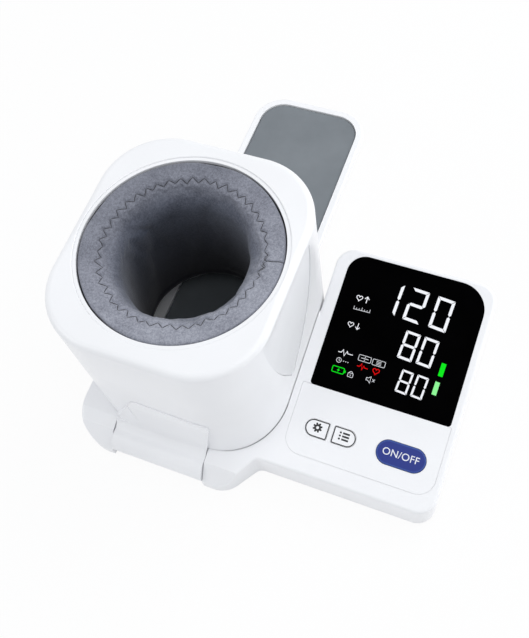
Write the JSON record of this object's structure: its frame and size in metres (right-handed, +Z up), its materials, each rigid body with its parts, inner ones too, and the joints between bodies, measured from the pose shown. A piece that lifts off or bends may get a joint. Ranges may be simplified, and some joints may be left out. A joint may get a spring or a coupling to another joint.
{
  "type": "arm-in blood pressure monitor",
  "caption": "Padded upright arm tunnel that tips forward on a front hinge, beside a sloping display panel with keys and a long padded elbow tray.",
  "frame": {"origin": "on the table, at the underside of the middle rubber foot, straight below the axis of the arm tunnel", "axes": "+Z up along the arm tunnel; +Y to the rear, along the elbow tray; +X along the hinge axis, towards the display panel; at rest the drum stands closed on its seat"},
  "size_m": [0.2806, 0.3535, 0.171],
  "materials": {
    "white_shell": "satin moulded, soft gloss",
    "start_blue": "smooth moulded",
    "grip_grey": "smooth matt",
    "pad_grey": "soft foam sheet, matt",
    "lining_felt": "brushed felt",
    "window_black": "polished",
    "foot_rubber": "matt",
    "bladder_rubber": "matt",
    "hose_rubber": "matt",
    "inner_plastic": "moulded",
    "board_green": "lacquered laminate",
    "screw_steel": "zinc plated",
    "motor_metal": "drawn can",
    "battery_wrap": "shrink wrap"
  },
  "bodies": {
    "base": {"base_shell": "white_shell", "bottom_cover": "white_shell", "rubber_feet": "foot_rubber", "arm_pad": "pad_grey", "display_window": "window_black", "key_plate": "white_shell", "key_switches": "inner_plastic", "main_board": "board_green", "display_module": "inner_plastic", "board_screws": "screw_steel", "buzzer": "inner_plastic", "air_pump": "motor_metal", "pump_cradle": "inner_plastic", "air_manifold": "inner_plastic", "release_valve": "motor_metal", "pressure_sensor": "inner_plastic", "base_hose": "hose_rubber", "battery_pack": "battery_wrap", "battery_holder": "inner_plastic", "power_inlet": "screw_steel", "inlet_bracket": "inner_plastic", "cover_screws": "screw_steel", "hinge_pin_left": "screw_steel", "hinge_pin_right": "screw_steel"},
    "drum": {"drum_shell": "white_shell", "mouth_bezel": "white_shell", "drum_base_ring": "white_shell", "core_tube": "inner_plastic", "air_bladder": "bladder_rubber", "cuff_lining": "lining_felt", "side_grip_right": "grip_grey", "side_grip_left": "grip_grey", "rest_stops": "foot_rubber", "drum_screws": "screw_steel", "knuckle_screws": "screw_steel", "drum_hose": "hose_rubber", "hinge_knuckle": "white_shell", "hinge_bushes": "inner_plastic"},
    "start_stop": {"start_stop_button": "start_blue"},
    "set_key": {"set_button": "white_shell"},
    "memory_key": {"memory_button": "white_shell"}
  },
  "joints": [
    {"name": "drum_tilt", "type": "hinge", "parent": "base", "child": "drum", "pos_m": [-0.0075, -0.096, 0.0138], "axis": [1, 0, 0], "range_deg": [0, 38]},
    {"name": "start_stop_press", "type": "slide", "parent": "base", "child": "start_stop", "axis": [0, 0.247, -0.969], "range_m": [0, 0.0009], "stiffness_N_per_m": 700},
    {"name": "set_press", "type": "slide", "parent": "base", "child": "set_key", "axis": [0, 0.247, -0.969], "range_m": [0, 0.0009], "stiffness_N_per_m": 700},
    {"name": "memory_press", "type": "slide", "parent": "base", "child": "memory_key", "axis": [0, 0.247, -0.969], "range_m": [0, 0.0009], "stiffness_N_per_m": 700}
  ]
}
